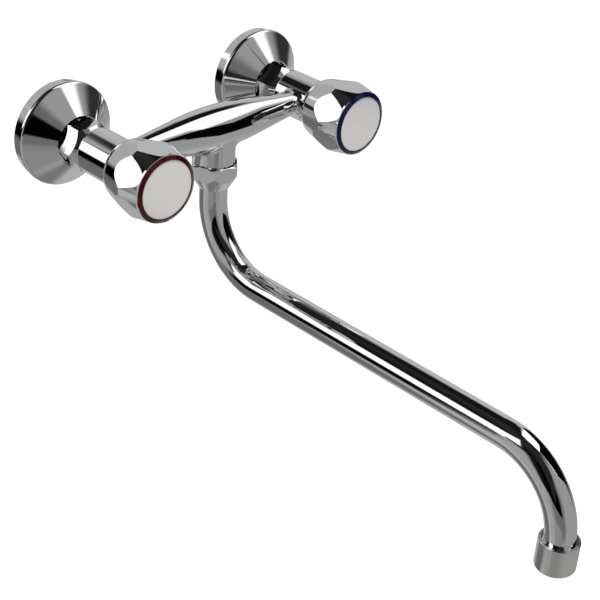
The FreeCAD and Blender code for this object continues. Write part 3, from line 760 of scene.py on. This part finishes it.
@dataclass
class OffsetUnion:
    """Offset fitting of one inlet with its pipe threads cut.

    Attributes:
        x: the side's X.
        offset: how far the wall thread's axis lies above the nut thread's.
        crest: the threads' outside radius.
        pitch: the advance of one turn, for 14 threads to the inch.
        depth: how deep the threads are cut.
        bore: the radius of the passage.
        disc_radius: the radius of the disc between the threads.
        disc: the disc's back and front Y.
        ends: the wall end's Y and the nut end's.
        edge: how far the disc's edges are broken.
        runout: the length over which the thread starts beside the disc, and tapers at its end.
        play: how much smaller in radius the nut's thread is than the wall's.
        rows_per_turn: rows of points for each turn of a thread.
        columns: steps round.
    """

    x: float
    offset: float = 6.0 * MM
    crest: float = 10.48 * MM
    pitch: float = 1.814 * MM
    depth: float = 1.16 * MM
    bore: float = 6.5 * MM
    disc_radius: float = 16.0 * MM
    disc: tuple[float, float] = (-3.0 * MM, -8.0 * MM)
    ends: tuple[float, float] = (15.0 * MM, -26.2 * MM)
    edge: float = 0.5 * MM
    runout: float = 1.0 * MM
    play: float = 0.08 * MM
    rows_per_turn: int = 10
    columns: int = 96

    def threaded_tube(self, start: float, end: float, z: float, crest: float) -> np.ndarray:
        """Grid of a tube with a thread outside and a plain bore.

        The outside is r(u, y) = crest - depth * w * |2 f - 1|, where f is the fractional part
        of y / pitch + u / 360 degrees, and w rises from 0 to 1 over the runout beside the disc.
        Over the runout at the free end, r is held under a cone that narrows to crest - depth.

        Args:
            start: the Y where the thread leaves the disc.
            end: the Y of the free end.
            z: the axis's Z.
            crest: the outside radius.

        Returns:
            The closed grid.
        """
        turn = np.linspace(0.0, 1.0, self.columns + 1)
        count = int(abs(end - start) / self.pitch * self.rows_per_turn)
        level = np.linspace(start, end, count)
        rise = np.clip(np.abs(level - start) / self.runout, 0.0, 1.0)
        share = np.mod(level[:, None] / self.pitch + turn, 1.0)
        radius = crest - self.depth * rise[:, None] * np.abs(2 * share - 1)
        taper = np.clip(np.abs(level - end) / self.runout, 0.0, 1.0)
        cone = crest - self.depth + self.depth * taper
        radius = np.minimum(radius, cone[:, None])
        rows = [(y, r, z) for y, r in zip(level, radius)]
        return ringed([*rows, (end, self.bore, z), (start, self.bore, z)], self.x, self.columns)

    def disc_grid(self) -> np.ndarray:
        """Grid of the disc: a rim with broken edges round a passage that slants between bores."""
        back, front = self.disc
        z = self.offset / 2
        rim, edge = self.disc_radius, self.edge
        step = math.copysign(edge, front - back)
        return ringed([(back, self.bore, self.offset), (back, rim - edge, z),
                       (back + step, rim, z), (front - step, rim, z), (front, rim - edge, z),
                       (front, self.bore, 0.0)], self.x, self.columns)

    def build(self, name: str) -> bpy.types.Object:
        """Make the fitting as its three closed shells.

        Args:
            name: the object's name.

        Returns:
            The fitting.
        """
        wall_end, nut_end = self.ends
        back, front = self.disc
        wall_tube = self.threaded_tube(back, wall_end, self.offset, self.crest)
        nut_tube = self.threaded_tube(front, nut_end, 0.0, self.crest - self.play)
        return surface(name, wall_tube, self.disc_grid(), nut_tube)


@dataclass
class WallConnection(SubAssembly):
    """Flange, offset union, washer, bushing and nut between the wall and one leg."""

    side: Side = Side.HOT

    def names(self) -> list[str]:
        """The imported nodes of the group."""
        pieces = ("wall_flange", "eccentric_union", "inlet_washer", "union_bushing", "union_nut")
        return [f"{self.side.value}_{piece}" for piece in pieces]

    def detail(self) -> None:
        """Cut the threads: the union is drawn anew, in the place of its plain solid."""
        node = f"{self.side.value}_eccentric_union"
        union = OffsetUnion(self.side.x).build(f"{node}_threaded")
        union.data.materials.append(self.materials[Finish.BRASS])
        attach(union, "valve_body")
        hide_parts(node)
        LOG.info("%s_threaded built for %s", node, node)


@dataclass
class ValveBody(SubAssembly):
    """The one-piece casting that joins both legs and the outlet boss."""

    def names(self) -> list[str]:
        """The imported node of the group."""
        return ["faucet_body"]


@dataclass
class Headwork(SubAssembly):
    """Screw-down valve of one side, from its seat washer to the spindle clip."""

    side: Side = Side.HOT

    def names(self) -> list[str]:
        """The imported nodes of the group."""
        pieces = ("headwork_gasket", "headwork_housing", "piston", "seat_washer", "washer_screw",
                  "spindle", "spindle_o_rings", "spindle_clip")
        return [f"{self.side.value}_{piece}" for piece in pieces]


@dataclass
class Handle(SubAssembly):
    """Faceted knob of one side with its screw, colour ring and cap."""

    side: Side = Side.HOT

    def names(self) -> list[str]:
        """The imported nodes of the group."""
        pieces = ("knob", "knob_screw", "index_ring", "knob_cap")
        return [f"{self.side.value}_{piece}" for piece in pieces]


@dataclass
class Spout(SubAssembly):
    """Bent tube with the collar, seals and nut of its swivel."""

    def names(self) -> list[str]:
        """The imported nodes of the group."""
        return ["spout_tube", "spout_collar", "spout_o_rings", "spout_slip_ring", "spout_nut"]


@dataclass
class WovenScreen:
    """Round piece of plain-woven wire cloth.

    Attributes:
        middle: the centre of the cloth.
        radius: the radius of its outline.
        pitch: the distance between neighbouring wires.
        wire: the wires' radius.
        sides: points round a wire.
        steps: points along a wire for each crossing.
    """

    middle: tuple[float, float, float]
    radius: float
    pitch: float = 1.1 * MM
    wire: float = 0.16 * MM
    sides: int = 8
    steps: int = 6

    def wires(self, along: int) -> tuple[np.ndarray, np.ndarray]:
        """Points and faces of the wires that run along one axis.

        Wire k lies at c = k * pitch and runs over |t| < sqrt(radius**2 - c**2). Its middle line
        is (t, c, +-wire * cos(pi * t / pitch)), up and down by turns, and the tube round it is
        that plus wire * (0, cos a, sin a).

        Args:
            along: 0 for wires along X, 1 for wires along Y.

        Returns:
            The points, and the faces as quads of point numbers.
        """
        count = int(self.radius / self.pitch)
        row = np.arange(-count, count + 1)
        across = row * self.pitch
        reach = np.sqrt(np.maximum(self.radius ** 2 - across ** 2, 0.0)) - self.wire
        kept = reach > self.pitch
        row, across, reach = row[kept], across[kept], reach[kept]
        share = np.linspace(-1.0, 1.0, 2 * count * self.steps + 1)
        t = reach[:, None] * share
        sign = np.where((row + along) % 2 == 0, 1.0, -1.0)[:, None]
        wave = sign * self.wire * np.cos(math.pi * t / self.pitch)
        turn = np.arange(self.sides) * 2 * math.pi / self.sides
        first = np.repeat(t[:, :, None], self.sides, axis=2)
        second = across[:, None, None] + self.wire * np.cos(turn) + 0 * first
        third = wave[:, :, None] + self.wire * np.sin(turn)
        pair = (first, second) if along == 0 else (second, first)
        points = np.stack([*pair, third], axis=-1)
        lines, columns = points.shape[:2]
        index = np.arange(points[..., 0].size).reshape(lines, columns, self.sides)
        beside = np.roll(index, -1, axis=2)
        quads = np.stack([index[:, :-1], beside[:, :-1], beside[:, 1:], index[:, 1:]], axis=-1)
        caps = self.end_caps(index)
        faces = np.concatenate([quads.reshape(-1, 4), caps])
        return points.reshape(-1, 3), faces if along == 0 else faces[:, ::-1]

    @staticmethod
    def end_caps(index: np.ndarray) -> np.ndarray:
        """Close the wires' ends: each round end is split in quads that share its first point.

        Args:
            index: point numbers, wire by station by turn.

        Returns:
            The quads of both ends of all wires.
        """
        caps = []
        for station, flip in ((0, True), (-1, False)):
            ring = index[:, station]
            for k in range(1, ring.shape[1] - 2, 2):
                quad = np.stack([ring[:, 0], ring[:, k], ring[:, k + 1], ring[:, k + 2]], axis=-1)
                caps.append(quad[:, ::-1] if flip else quad)
        return np.concatenate(caps)

    def build(self, name: str) -> bpy.types.Object:
        """Make the cloth of both sets of wires.

        Args:
            name: the object's name.

        Returns:
            The cloth.
        """
        first_points, first_faces = self.wires(0)
        second_points, second_faces = self.wires(1)
        points = np.concatenate([first_points, second_points]) + np.array(self.middle)
        faces = np.concatenate([first_faces, second_faces + len(first_points)])
        mesh = bpy.data.meshes.new(name)
        mesh.from_pydata(points.tolist(), [], faces.tolist())
        mesh.polygons.foreach_set("use_smooth", np.ones(len(mesh.polygons), dtype=bool))
        cloth = bpy.data.objects.new(name, mesh)
        bpy.context.scene.collection.objects.link(cloth)
        return cloth


@dataclass
class Aerator(SubAssembly):
    """Bush at the tube's end with the jet aerator screwed on it.

    Attributes:
        reach: how far the outlet's axis stands out from the wall.
        screen_low: the Z of the pierced screen's underside.
        cloth_drop: how far the cloth's middle lies below that.
        cloth_radius: the radius of the cloth.
    """

    reach: float = 330.8 * MM
    screen_low: float = -148.4 * MM
    cloth_drop: float = 0.34 * MM
    cloth_radius: float = 8.9 * MM

    def names(self) -> list[str]:
        """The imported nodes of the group."""
        return ["outlet_bush", "aerator_housing", "aerator_seal", "aerator_insert",
                "aerator_screen"]

    def detail(self) -> None:
        """Lay wire cloth under the pierced screen."""
        middle = (0.0, -self.reach, self.screen_low - self.cloth_drop)
        made = WovenScreen(middle, self.cloth_radius).build("aerator_wire_cloth")
        made.data.materials.append(self.materials[Finish.STEEL])
        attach(made, "spout")
        LOG.info("aerator_wire_cloth built under aerator_screen")


@dataclass
class Faucet:
    """The whole faucet, as the list of its sub-assemblies."""

    frame: dict

    def sub_assemblies(self) -> list[SubAssembly]:
        """All groups, from the wall outwards and then down the spout."""
        shared = {finish: recipe.make() for finish, recipe in FINISHES.items()}
        fitted: list[SubAssembly] = [ValveBody(self.frame, shared)]
        for side in Side:
            fitted += [WallConnection(self.frame, shared, side), Headwork(self.frame, shared, side),
                       Handle(self.frame, shared, side)]
        return [*fitted, Spout(self.frame, shared), Aerator(self.frame, shared)]

    def build(self) -> None:
        """Dress every group and build its details."""
        for group in self.sub_assemblies():
            group.dress()
            group.detail()


def main() -> None:
    """Load the solids, dress them, and build the studio."""
    logging.basicConfig(level=logging.INFO, format="%(name)s: %(message)s")
    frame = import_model()
    Studio().build()
    Faucet(frame).build()


if __name__ == "__main__":
    main()
